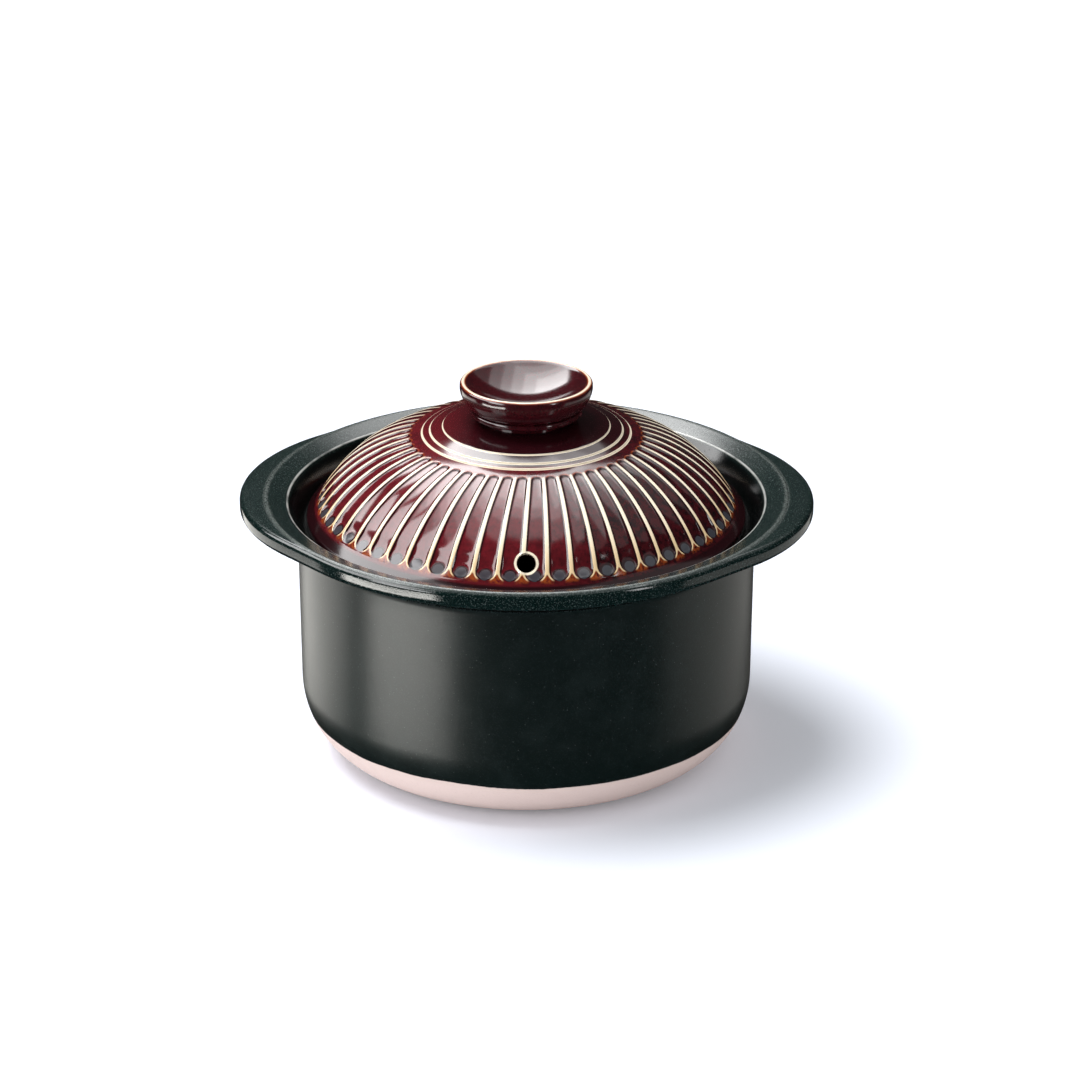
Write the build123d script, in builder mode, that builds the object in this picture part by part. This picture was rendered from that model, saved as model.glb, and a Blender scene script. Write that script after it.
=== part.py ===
from build123d import *
from math import acos, cos, degrees, pi, radians, sin, sqrt
import os

# Donabe: a clay cooking pot with a fluted lid. Millimetres, +Z up.
# The origin is the middle of the base. The lugs lie along X. The steam hole is turned a little from -Y.

# Pot wall and floor
wall_radius = 95.5
wall_taper = 0.5
wall_thickness = 8.0
floor_thickness = 9.0
base_radius = 68.0
base_curve_height = 32.0
foot_recess_radius = 52.0
foot_recess_depth = 1.2
foot_recess_slope = 3.0
inner_curve_width = 25.0
inner_curve_height = 28.0

# Pot rim, lugs and the gutter that the lid sits in
pot_height = 112.4
flange_width = 14.7
flange_thickness = 7.2
flange_edge_round = 2.2
cove_radius = 8.6
ridge_rise = 0.8
ridge_inset = 1.2
ridge_foot_inset = 0.4
ridge_foot_drop = 2.0
ridge_round = 0.5
lip_width = 9.7
lip_drop = 3.2
lip_round = 1.2
seat_depth = 13.4
seat_width = 4.1
seat_corner_round = 2.0
lid_clearance = 1.8
lug_reach = 9.4
lug_radius = 86.0

# How far the lid is turned in its seat, in degrees
lid_turn = 3.6

# Lid dome and rim
lid_rim_height = 4.2
lid_rim_round = 1.3
lid_band_width = 4.1
dome_foot_height = 7.5
dome_rise = 31.5
dome_radius = 63.4
lid_thickness = 7.0

# Lid crown: two terraces, a raised line and the knob's seat
crown_radius = 43.2
terrace_width = 3.3
terrace_rise = 0.6
terrace_slope_rise = 0.5
line_radius = 34.6
line_slope_rise = 1.2
line_rise = 0.5
seat_slope_rise = 2.6

# Flutes carved down the dome, with a thin rib left between each pair
flute_count = 54
flute_cutter_radius = 7.0
flute_top_radius = 48.0
flute_foot_inset = 1.4
flute_slant = 3.6
rib_width = 1.1

# Steam hole, on the front rib
steam_hole_radius = 3.65
steam_hole_inset = 4.9

# Knob: a shallow dish on a beaded foot
knob_foot_radius = 18.1
knob_foot_height = 2.7
knob_bead_radius = 23.3
knob_bead_height = 2.4
knob_bead_round = 1.0
knob_neck_radius = 22.2
knob_rim_radius = 27.5
knob_rim_height = 13.6
knob_height = 17.2
knob_dish_bulge = 1.1
knob_lip_round = 1.4
knob_lip_width = 2.6
knob_lip_drop = 1.0
knob_bowl_depth = 8.6

# How far the cutting shapes reach past the faces that they cut
overrun = 5.0

# Sizes that follow from the ones above
inner_radius = wall_radius - wall_thickness
flange_radius = wall_radius + flange_width
flange_top = pot_height - ridge_rise
flange_underside = flange_top - flange_thickness
crest_radius = flange_radius - ridge_inset
lip_radius = crest_radius - lip_width
lip_height = pot_height - lip_drop
seat_height = pot_height - seat_depth
lid_radius = inner_radius + seat_width
gutter_radius = lid_radius + lid_clearance
dome_foot_radius = lid_radius - lid_band_width
dome_foot = seat_height + dome_foot_height
dome_top = dome_foot + dome_rise
outer_terrace = dome_top + terrace_rise
inner_terrace = outer_terrace + terrace_slope_rise + terrace_rise
line_foot = inner_terrace + line_slope_rise
line_top = line_foot + line_rise
knob_seat = line_top + seat_slope_rise


# The pot: one pressed piece of clay, with its flange and both lugs
with BuildPart() as pot_body:
    # Flange and lugs: a disc and two arcs that stand out from it, joined by straight edges that touch both
    with BuildSketch(Plane.XY.offset(flange_underside)):
        lug_centre = flange_radius + lug_reach - lug_radius
        touch_angle = acos((flange_radius - lug_radius) / lug_centre)
        flange_touch = (flange_radius * cos(touch_angle), flange_radius * sin(touch_angle))
        lug_touch = (lug_centre + lug_radius * cos(touch_angle), lug_radius * sin(touch_angle))
        Circle(flange_radius)
        with Locations((-lug_centre, 0), (lug_centre, 0)):
            Circle(lug_radius)
        touch_points = []
        for side_x, side_y, order in ((1, 1, 1), (1, -1, -1), (-1, -1, 1), (-1, 1, -1)):
            for x, y in (flange_touch, lug_touch)[::order]:
                touch_points.append((side_x * x, side_y * y))
        Polygon(*touch_points, align=None)
    extrude(amount=flange_thickness)
    flange_faces = pot_body.faces().sort_by(Axis.Z)
    fillet(flange_faces[0].edges() + flange_faces[-1].edges(), radius=flange_edge_round)

    # Wall, base and rim ring: a straight wall, a wide curve under it and a turned recess to stand on
    with BuildSketch(Plane.XZ) as wall_section:
        with BuildLine():
            Polyline(
                (0, foot_recess_depth),
                (foot_recess_radius - foot_recess_slope, foot_recess_depth),
                (foot_recess_radius, 0),
                (base_radius, 0),
            )
            base_curve = EllipticalCenterArc(
                (base_radius, base_curve_height),
                wall_radius - wall_taper - base_radius,
                base_curve_height,
                start_angle=-90,
                arc_size=90,
            )
            cove_foot = (wall_radius, flange_underside - cove_radius)
            Line(base_curve @ 1, cove_foot)
            cove = RadiusArc(cove_foot, (wall_radius + cove_radius, flange_underside), cove_radius)
            Polyline(
                cove @ 1,
                (flange_radius - ridge_foot_inset, flange_top - ridge_foot_drop),
                (crest_radius, pot_height),
                (0, pot_height),
                (0, foot_recess_depth),
            )
        make_face()
    revolve(axis=Axis.Z)

    # Everything open above the floor: the cooking space, the lid's seat, the gutter and the lip
    with BuildSketch(Plane.XZ) as mouth_section:
        with BuildLine():
            floor_edge = (inner_radius - inner_curve_width, floor_thickness)
            Line((0, floor_thickness), floor_edge)
            inner_curve = EllipticalCenterArc(
                (inner_radius - inner_curve_width, floor_thickness + inner_curve_height),
                inner_curve_width,
                inner_curve_height,
                start_angle=-90,
                arc_size=90,
            )
            Polyline(
                inner_curve @ 1,
                (inner_radius, seat_height),
                (gutter_radius, seat_height),
                (lip_radius, lip_height),
                (crest_radius, pot_height),
                (crest_radius, pot_height + overrun),
                (0, pot_height + overrun),
                (0, floor_thickness),
            )
        make_face()
        seat_corner = mouth_section.vertices().sort_by_distance((gutter_radius, seat_height))[0]
        fillet(seat_corner, radius=seat_corner_round)
        lip_corner = mouth_section.vertices().sort_by_distance((lip_radius, lip_height))[0]
        fillet(lip_corner, radius=lip_round)
    revolve(axis=Axis.Z, mode=Mode.SUBTRACT)

    # The ring's crest, softened
    fillet(pot_body.edges().group_by(Axis.Z)[-1], radius=ridge_round)

pot_body.part.label = "pot_body"


# The dome's round back, from its foot to its crown, and the centre of that curve
with BuildLine(Plane.XZ) as dome_line:
    dome_arc = RadiusArc((dome_foot_radius, dome_foot), (crown_radius, dome_top), -dome_radius)
dome_centre = dome_line.edge().arc_center


def dome_angle(radius):
    """Angle above level at which the dome's curve passes this distance from the lid's axis."""
    return acos((radius - dome_centre.X) / dome_radius)


def dome_point(radius, height):
    """Place this far from the lid's axis, lifted square off the dome by the height."""
    reach = dome_radius + height
    angle = dome_angle(radius)
    return (dome_centre.X + reach * cos(angle), dome_centre.Z + reach * sin(angle))


def flute_width(radius):
    """Width of a flute that leaves one rib's width to its neighbour."""
    return 2 * pi * radius / flute_count - rib_width


def flute_centre(radius):
    """Where the round cutter's middle stands, so that it cuts a flute of the right width."""
    half_width = flute_width(radius) / 2
    return dome_point(radius, sqrt(flute_cutter_radius**2 - half_width**2))


# One flute's cutter: round in section, bent along the dome and round at both ends
foot_inset = flute_foot_inset + flute_width(dome_foot_radius) / 2
top_inset = flute_width(flute_top_radius) / 2
flute_foot = dome_foot_radius - foot_inset * sin(dome_angle(dome_foot_radius))
flute_top = flute_top_radius + top_inset * sin(dome_angle(flute_top_radius))
flute_middle = (flute_foot + flute_top) / 2
with BuildPart() as flute_cutter:
    with BuildLine(Plane.XZ) as flute_path:
        ThreePointArc(flute_centre(flute_foot), flute_centre(flute_middle), flute_centre(flute_top))
    flute_curve = flute_path.edge()
    with BuildSketch(Plane(flute_curve @ 0, z_dir=flute_curve % 0)):
        Circle(flute_cutter_radius)
    bend_axis = Axis(flute_curve.arc_center, (0, -1, 0))
    bend = degrees(flute_curve.length / flute_curve.radius)
    revolve(axis=bend_axis, revolution_arc=bend)
    with Locations(flute_curve @ 0, flute_curve @ 1):
        Sphere(flute_cutter_radius)

# The flutes lean a little to one side of straight down
lean_axis = Axis(flute_curve @ 0.5, flute_curve.arc_center - flute_curve @ 0.5)
slanted_flute = flute_cutter.part.rotate(lean_axis, flute_slant)


# The lid: a thick dome with a stepped crown
with BuildPart() as lid:
    with BuildSketch(Plane.XZ) as lid_section:
        with BuildLine():
            inner_dome_radius = dome_radius - lid_thickness
            seat_reach = sqrt(inner_dome_radius**2 - (dome_centre.Z - seat_height) ** 2)
            inner_foot = (dome_centre.X + seat_reach, seat_height)
            inner_crown = (dome_centre.X, dome_centre.Z + inner_dome_radius)
            rim_top = seat_height + lid_rim_height
            Polyline(
                inner_foot,
                (lid_radius, seat_height),
                (lid_radius, rim_top),
                (dome_foot_radius, dome_foot),
            )
            RadiusArc((dome_foot_radius, dome_foot), (crown_radius, dome_top), -dome_radius)
            Polyline(
                (crown_radius, dome_top),
                (crown_radius, outer_terrace),
                (crown_radius - terrace_width, outer_terrace + terrace_slope_rise),
                (crown_radius - terrace_width, inner_terrace),
                (line_radius, line_foot),
                (line_radius, line_top),
                (knob_foot_radius, knob_seat),
                (0, knob_seat),
                (0, inner_crown[1]),
                inner_crown,
            )
            RadiusArc(inner_crown, inner_foot, inner_dome_radius)
        make_face()
        rim_foot_corner = lid_section.vertices().sort_by_distance((lid_radius, seat_height))[0]
        fillet(rim_foot_corner, radius=lid_rim_round)
        rim_top_corner = lid_section.vertices().sort_by_distance((lid_radius, rim_top))[0]
        fillet(rim_top_corner, radius=lid_rim_round)
    revolve(axis=Axis.Z)

    # Flutes all round, set half a step aside so that a rib runs down the lid's front
    lid_front = lid_turn - 90
    with PolarLocations(0, flute_count, start_angle=lid_front + 180 / flute_count):
        add(slanted_flute, mode=Mode.SUBTRACT)

    # Steam hole, square through the dome at the foot of the front rib
    steam_hole_place = dome_foot_radius - steam_hole_inset
    hole_radius, hole_height = dome_point(steam_hole_place, 0)
    hole_angle = dome_angle(steam_hole_place)
    front_x = cos(radians(lid_front))
    front_y = sin(radians(lid_front))
    hole_foot = (hole_radius * front_x, hole_radius * front_y, hole_height)
    hole_direction = (cos(hole_angle) * front_x, cos(hole_angle) * front_y, sin(hole_angle))
    with Locations(Plane(hole_foot, z_dir=hole_direction)):
        Cylinder(steam_hole_radius, 4 * lid_thickness, mode=Mode.SUBTRACT)

lid.part.label = "lid"


# The knob: a turned dish on a beaded foot, set on the crown before firing
with BuildPart() as lid_knob:
    with BuildSketch(Plane.XZ) as knob_section:
        with BuildLine():
            bead_foot = knob_seat + knob_foot_height
            bead_top = bead_foot + knob_bead_height
            rim_height = knob_seat + knob_rim_height
            lip_top = knob_seat + knob_height
            bowl_radius = knob_rim_radius - knob_lip_width
            bowl_top = lip_top - knob_lip_drop
            bowl_curve = (bowl_radius**2 + knob_bowl_depth**2) / (2 * knob_bowl_depth)
            Polyline(
                (0, bowl_top - knob_bowl_depth),
                (0, knob_seat),
                (knob_foot_radius, knob_seat),
                (knob_foot_radius, bead_foot),
                (knob_bead_radius, bead_foot),
                (knob_bead_radius, bead_top),
                (knob_neck_radius, bead_top),
            )
            SagittaArc((knob_neck_radius, bead_top), (knob_rim_radius, rim_height), -knob_dish_bulge)
            Polyline(
                (knob_rim_radius, rim_height),
                (knob_rim_radius, lip_top),
                (bowl_radius, bowl_top),
            )
            RadiusArc((bowl_radius, bowl_top), (0, bowl_top - knob_bowl_depth), bowl_curve)
        make_face()
        bead_foot_corner = knob_section.vertices().sort_by_distance((knob_bead_radius, bead_foot))[0]
        fillet(bead_foot_corner, radius=knob_bead_round)
        bead_top_corner = knob_section.vertices().sort_by_distance((knob_bead_radius, bead_top))[0]
        fillet(bead_top_corner, radius=knob_bead_round)
        lip_top_corner = knob_section.vertices().sort_by_distance((knob_rim_radius, lip_top))[0]
        fillet(lip_top_corner, radius=knob_lip_round)
    revolve(axis=Axis.Z)

lid_knob.part.label = "lid_knob"

os.makedirs("parts", exist_ok=True)
export_step(pot_body.part, "parts/pot_body.step")
export_step(lid.part, "parts/lid.step")
export_step(lid_knob.part, "parts/lid_knob.step")
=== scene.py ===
from math import acos, asin, atan2, cos, floor, pi, radians, sin, sqrt, tan

import bmesh
import bpy
from bpy.props import FloatProperty, FloatVectorProperty, IntProperty, PointerProperty
from bpy.types import Operator, Panel, PropertyGroup
from mathutils import Matrix, Vector


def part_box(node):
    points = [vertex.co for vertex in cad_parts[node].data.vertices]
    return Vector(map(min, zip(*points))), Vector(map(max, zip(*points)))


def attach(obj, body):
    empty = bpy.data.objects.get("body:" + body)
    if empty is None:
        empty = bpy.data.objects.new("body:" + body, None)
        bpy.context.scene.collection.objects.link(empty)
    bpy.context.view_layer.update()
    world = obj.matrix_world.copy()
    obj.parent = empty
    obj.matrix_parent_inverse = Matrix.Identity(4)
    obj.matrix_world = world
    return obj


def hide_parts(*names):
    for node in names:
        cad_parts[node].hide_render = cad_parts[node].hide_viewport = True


bl_info = {
    "name": "Clay pot with a fluted lid",
    "version": (1, 0, 0),
    "blender": (4, 5, 0),
    "location": "View3D > Sidebar > Clay Pot",
    "description": "Turns and glazes a clay pot, its fluted lid and its knob, and sets up a studio",
    "category": "Add Mesh",
}

# The fixed frame: its pieces' boxes give the driving sizes
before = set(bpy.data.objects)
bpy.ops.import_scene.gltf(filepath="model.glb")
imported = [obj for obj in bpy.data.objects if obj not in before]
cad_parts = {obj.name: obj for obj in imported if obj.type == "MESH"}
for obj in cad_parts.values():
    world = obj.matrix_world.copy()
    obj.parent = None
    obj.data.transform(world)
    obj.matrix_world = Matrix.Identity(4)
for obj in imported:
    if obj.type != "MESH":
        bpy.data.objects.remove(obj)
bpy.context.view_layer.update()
_, pot_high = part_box("pot_body")
lid_low, lid_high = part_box("lid")
knob_low, knob_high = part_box("lid_knob")

MM = 0.001
SHARP_ANGLE = radians(38)
MERGE_DISTANCE = 1e-6

# Rows of faces on the flange's outside, from its underside up to the ring's foot
FLANGE_ROWS = (("underside", 3), ("lower edge", 6), ("side", 3), ("upper edge", 16))
# Rows of faces down the dome: the angle in degrees above level where they end, and how many. They are
# closest at the flutes' upper ends, and the last ones reach the dome's foot.
DOME_ROWS = ((77, 3), (70, 13), (46, 12))
DOME_FOOT_ROWS = 26
# Rows over which the flutes start and end, and how far their columns crowd towards the ribs
FADE_ROWS = 3
RIB_CROWDING = 0.08
HOLE_COLUMNS = 64

POT_IOR = 1.45
LID_IOR = 1.52

WHITE = (1, 1, 1)
WARM = (1, 0.985, 0.93)
KEY_DIRECTION = (0.34, -0.05, -0.94)
LIGHTS_AIM = (0, 0, 0.12)
# The ceiling light's layers, which soften its edges: left, front, right, back and share of its level
CEILING_LAYERS = (
    (-0.66, 0.36, -0.16, 0.98, 0.26),
    (-0.68, 0.2, 0, 1, 0.22),
    (-0.7, 0.05, 0.15, 1.03, 0.19),
    (-0.72, -0.1, 0.3, 1.05, 0.15),
    (-0.74, -0.38, 0.5, 1.08, 0.13),
    (-0.74, -0.42, 1.3, 1.15, 0.035),
)
# Height from one layer up to the next
CEILING_STEP = 0.01
# The other softboxes, aimed at the pot: name, place, width, height, level, tint. The first lights the glaze
# itself and doesn't show in its gloss, and the others only show in it.
SOFTBOXES = (
    ("left_fill", (-0.9, -0.75, 0.55), 0.9, 0.9, 1.3, WHITE),
    ("left_box", (-0.89, -0.16, 0.75), 1.3, 0.6, 8, WHITE),
    ("left_front_box", (-0.8, -0.72, 0.3), 0.5, 0.4, 10, WHITE),
    ("left_low_box", (-0.82, -0.56, -0.32), 0.8, 0.12, 14, WARM),
    ("left_side_low_box", (-0.9, 0.5, -0.34), 1, 0.24, 2.4, WARM),
    ("right_low_box", (0.85, 0.35, -0.3), 1.5, 0.24, 0.7, WARM),
    ("right_strip", (0.75, -0.62, 0.4), 0.12, 0.55, 9, WHITE),
)


def length(name, description, default):
    """A length that the sidebar shows, with its default in millimetres."""
    default = default * MM
    return FloatProperty(name=name, description=description, default=default, unit="LENGTH", precision=4)


def number(name, description, default):
    """A plain number that the sidebar shows."""
    return FloatProperty(name=name, description=description, default=default, precision=3)


def turn(name, description, default):
    """An angle that the sidebar shows, with its default in degrees."""
    return FloatProperty(name=name, description=description, default=radians(default), unit="ROTATION")


def colour(name, description, default):
    """A colour that the sidebar shows, as linear light."""
    return FloatVectorProperty(
        name=name, description=description, subtype="COLOR", size=4, min=0, max=1, default=(*default, 1)
    )


class PotSizes(PropertyGroup):
    """Sizes of the pot's section, from the ground up."""

    columns: IntProperty(name="Columns", description="Faces round the pot", default=400)
    recess_radius: length("Recess radius", "Inner edge of the ring that it stands on", 52)
    recess_depth: length("Recess depth", "How far the recess is turned in", 1.2)
    recess_slope: length("Recess slope", "Width of the recess's sloping edge", 3)
    base_radius: length("Base radius", "Outer edge of the ring that it stands on", 68)
    base_height: length("Base curve height", "Height where the wall starts", 32)
    wall_radius: length("Wall radius", "Outer radius of the wall under the flange", 95.5)
    wall_taper: length("Wall taper", "How much narrower the wall is at its foot", 0.5)
    cove_radius: length("Cove radius", "Hollow between wall and flange", 8.6)
    flange_radius: length("Flange radius", "Outer radius of the flange", pot_high.y / MM)
    flange_under: length("Flange underside", "Height of the flange's underside", 104.4)
    flange_top: length("Flange top", "Height of the lugs' flat top", 111.6)
    flange_round: length("Flange rounding", "Rounding of the flange's edges", 2.2)
    lug_tip: length("Lug tip", "Distance from the axis to a lug's tip", pot_high.x / MM)
    lug_radius: length("Lug radius", "Radius of a lug's outline", 86)
    ridge_height: length("Ridge height", "Top of the ring round the rim", 112.4)
    ridge_inset: length("Ridge inset", "From the flange's edge to the ring's crest", 1.2)
    ridge_foot_inset: length("Ridge foot inset", "From the flange's edge to the ring's foot", 0.4)
    ridge_foot_drop: length("Ridge foot drop", "How far its foot lies under the flange's top", 2)
    ridge_round: length("Ridge rounding", "Rounding of the ring's crest", 1.1)
    lip_width: length("Lip width", "From the ring's crest to the lip", 9.7)
    lip_drop: length("Lip drop", "How far the lip lies under the crest", 3.2)
    lip_round: length("Lip rounding", "Rounding of the lip", 1.2)
    gutter_radius: length("Gutter radius", "Outer edge of the lid's seat", 93.4)
    gutter_round: length("Gutter rounding", "Rounding in the gutter", 2)
    inner_radius: length("Inner radius", "Radius of the cooking space", 87.5)
    inner_width: length("Inner curve width", "Width of the curve inside the base", 25)
    inner_height: length("Inner curve height", "Height of the curve inside the base", 28)
    floor_height: length("Floor height", "Top of the floor inside", 9)
    glaze_line: length("Glaze line", "Height to which the clay is left bare", 19.2)
    glaze_wave: length("Glaze wave", "How far the glaze's edge wanders", 1.4)


class LidSizes(PropertyGroup):
    """Sizes of the lid's section and of its flutes."""

    flutes: IntProperty(name="Flutes", description="How many flutes go round", default=54)
    turned: turn("Lid's turn", "How far the lid is turned in its seat", 3.6)
    flute_columns: IntProperty(name="Flute columns", description="Faces across one flute", default=18)
    rim_radius: length("Rim radius", "Outer radius of the rim", lid_high.y / MM)
    seat: length("Seat", "Height where the rim rests on the pot", lid_low.z / MM)
    rim_height: length("Rim height", "Height of the rim's upright side", 4.2)
    rim_round: length("Rim rounding", "Rounding of the rim's corners", 1.3)
    band_width: length("Band width", "Width of the smooth band round the flutes", 4.1)
    dome_foot: length("Dome foot", "Height of the dome's foot over the seat", 7.5)
    dome_rise: length("Dome rise", "Height of the dome's crown over its foot", 31.5)
    dome_radius: length("Dome radius", "Radius of the dome's curve", 63.4)
    thickness: length("Thickness", "Thickness of the dome", 7)
    crown_radius: length("Crown radius", "Radius of the outer terrace", 43.2)
    terrace_width: length("Terrace width", "Width of the outer terrace", 3.3)
    terrace_rise: length("Terrace rise", "Height of a terrace's step", 0.6)
    terrace_slope: length("Terrace slope", "How much the outer terrace rises inwards", 0.5)
    line_radius: length("Line radius", "Radius of the small step", 34.6)
    line_slope: length("Line slope", "How much the inner terrace rises to the small step", 1.2)
    line_rise: length("Line rise", "Height of the small step", 0.5)
    step_round: length("Step rounding", "Rounding of the steps", 0.25)
    knob_radius: length("Knob seat radius", "Radius of the flat under the knob", 18.1)
    wall_width: length("Flute wall width", "Width of a flute's steep side", 1)
    wall_depth: length("Flute wall depth", "Depth of a flute's steep side", 0.55)
    belly_radius: length("Flute roundness", "Radius of a flute's glazed floor", 26)
    dip_depth: length("Flute dip", "How much deeper a flute gets towards its pool", 0.4)
    dip_start: length("Dip start", "Distance from the flute's lower centre to the dip's start", 7)
    dip_end: length("Dip end", "Distance from the flute's lower centre to the dip's end", 2)
    flute_top: length("Flute top", "Radius where the flutes start", 48)
    flute_inset: length("Flute foot inset", "Distance from the dome's foot to the flutes", 1.4)
    slant: turn("Slant", "How far the ribs lean from straight down", 3.6)
    rib_width: length("Rib width", "Width of the rib between two flutes", 1.1)
    pool_drop: length("Pool drop", "From a flute's lower centre down to its pool's middle", 1.3)
    pool_depth: length("Pool depth", "Depth of a pool's middle under the dome", 0.75)
    pool_radius: length("Pool radius", "Radius of a pool of glaze", 2.5)
    pool_tilt: number("Pool tilt", "How much deeper a pool gets uphill", 0.22)
    hole_radius: length("Hole radius", "Radius of the steam hole", 3.65)
    hole_inset: length("Hole inset", "From the dome's foot to the steam hole's middle", 4.9)
    hole_flare: length("Hole flare", "How much the hole's mouth widens", 0.5)


class KnobSizes(PropertyGroup):
    """Sizes of the knob's section."""

    columns: IntProperty(name="Columns", description="Faces round the knob", default=220)
    seat: length("Seat", "Height where the knob stands on the lid", knob_low.z / MM)
    foot_radius: length("Foot radius", "Radius of the foot", 18.1)
    foot_height: length("Foot height", "Height of the foot", 2.7)
    bead_radius: length("Bead radius", "Radius of the bead", 23.3)
    bead_height: length("Bead height", "Height of the bead", 2.4)
    bead_round: length("Bead rounding", "Rounding of the bead", 1)
    neck_radius: length("Neck radius", "Radius over the bead", 22.2)
    rim_radius: length("Rim radius", "Radius of the rim", knob_high.x / MM)
    rim_height: length("Rim height", "Height of the rim's lower edge over the seat", 13.6)
    dish_bulge: length("Side bulge", "How far the side swells out", 1.1)
    lip_height: length("Lip height", "Height of the rim's unrounded corner over the seat", 17.2)
    lip_round: length("Lip rounding", "Rounding of the rim's outer edge", 1.4)
    lip_width: length("Lip width", "Width of the rim's top", 2.6)
    lip_drop: length("Lip drop", "How far the rim's top falls inwards", 1)
    bowl_depth: length("Bowl depth", "Depth of the bowl", 8.6)


class GlazeColours(PropertyGroup):
    """Colours of the glazes, the bare clay and the floor, as linear light."""

    pot: colour("Pot glaze", "Green-black satin glaze", (0.0018, 0.0085, 0.0075))
    pot_grain: colour("Pot grain", "Lighter grain in the pot's glaze", (0.02, 0.033, 0.031))
    # Lighter where the glaze runs thin, and also a painted highlight along the ring's crest
    thin_glaze_and_highlight: colour("Thin glaze", "Pot glaze where it runs thin over the ring", (0.17, 0.19, 0.18))
    # Painted highlight along the lip, on glaze that is also thinner there
    lip_glaze_and_highlight: colour("Lip", "Pot glaze where it runs thin over the lip", (0.55, 0.56, 0.54))
    # Painted shade: the near-black colour laid in the gutter
    shade: colour("Gutter", "Pot glaze where it lies thick in the gutter", (0.0012, 0.0012, 0.0014))
    speck: colour("Specks", "Sparse pale specks in the pot's glaze", (0.12, 0.14, 0.13))
    clay: colour("Clay", "Bare fired clay", (0.9, 0.71, 0.63))
    clay_grain: colour("Clay grain", "Darker grain in the bare clay", (0.76, 0.58, 0.5))
    red: colour("Lid glaze", "Red-brown glaze where it lies thin", (0.13, 0.009, 0.014))
    # The plum also paints shade on the lid's right side and on its crown
    plum: colour("Deep glaze", "Darker glaze where it lies thick", (0.011, 0.0025, 0.004))
    cream: colour("Cream", "Glaze that has run off an edge", (0.98, 0.87, 0.68))
    straw: colour("Straw", "Yellower cream at the ribs' feet", (0.85, 0.55, 0.2))
    amber: colour("Amber", "Glaze between the forks of a rib", (0.38, 0.075, 0.014))
    pool: colour("Pool", "Glaze that has pooled", (0.045, 0.05, 0.06))
    floor: colour("Floor", "The stage's floor", (0.81, 0.85, 0.94))


class GlazeGrains(PropertyGroup):
    """Sizes of the grains, clouds and waves in the glazes."""

    pot: length("Pot grain", "Fine grain of the pot's glaze", 0.55)
    cloud: length("Pot clouds", "Slow clouds in the pot's glaze", 14)
    speck: length("Speck spacing", "Distance between pale specks", 2.6)
    dust: length("Clay dust", "Grain of the bare clay", 0.9)
    wave: length("Edge wave", "Slow wave of the glaze's lower edge", 38)
    ripple: length("Edge ripple", "Quick ripple of the glaze's lower edge", 3)
    mottle: length("Mottle", "Mottle of the lid's glaze", 2.2)
    wobble: length("Wobble", "Wobble of the lines on the lid", 4)
    drift: length("Drift", "Slower wobble of the flutes' ends", 9)
    blotch: length("Blotch", "Blotches in the amber", 1.3)
    # The lid's darkening to the right is painted shade
    shift: length("Shift", "How slowly the lid's glaze turns darker to the right", 40)
    knob_wobble: length("Knob wobble", "Wobble of the lines on the knob", 5)


class StudioLevels(PropertyGroup):
    """Levels of the lights and the camera's place."""

    camera_distance: length("Camera distance", "From the aim to the camera", 1600)
    camera_height: turn("Camera angle", "How far the camera looks down", 22.66)
    camera_turn: turn("Camera turn", "How far the camera stands round from the front", 3.6)
    aim_height: length("Aim height", "Height that the camera aims at", 85)
    lens: number("Lens", "Focal length in millimetres", 127.1)
    shift_x: number("Shift across", "Share of the frame's width", 0.0127)
    shift_y: number("Shift up", "Share of the frame's width", 0.0092)
    fill: number("Fill", "Level of the light from all round", 0.5)
    dim: number("Dim surroundings", "Level of the surroundings in gloss", 0.02)
    sun: number("Key", "Level of the soft key light", 3)
    sun_angle: turn("Key's width", "How wide the key light looks", 38)
    ceiling: number("Ceiling light", "Level of all its layers together", 11.6)
    ceiling_height: length("Ceiling height", "Height of the ceiling light", 1000)
    floor_glow: number("Floor glow", "How much the floor glows for the camera", 0.12)
    floor_size: length("Floor size", "Half the width of the floor", 6000)


def settings(group):
    """One group of the sidebar's values."""
    return getattr(bpy.context.scene.clay_pot, group)


def added(name, data):
    """A new object in the scene."""
    thing = bpy.data.objects.new(name, data)
    bpy.context.scene.collection.objects.link(thing)
    return thing


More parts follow.
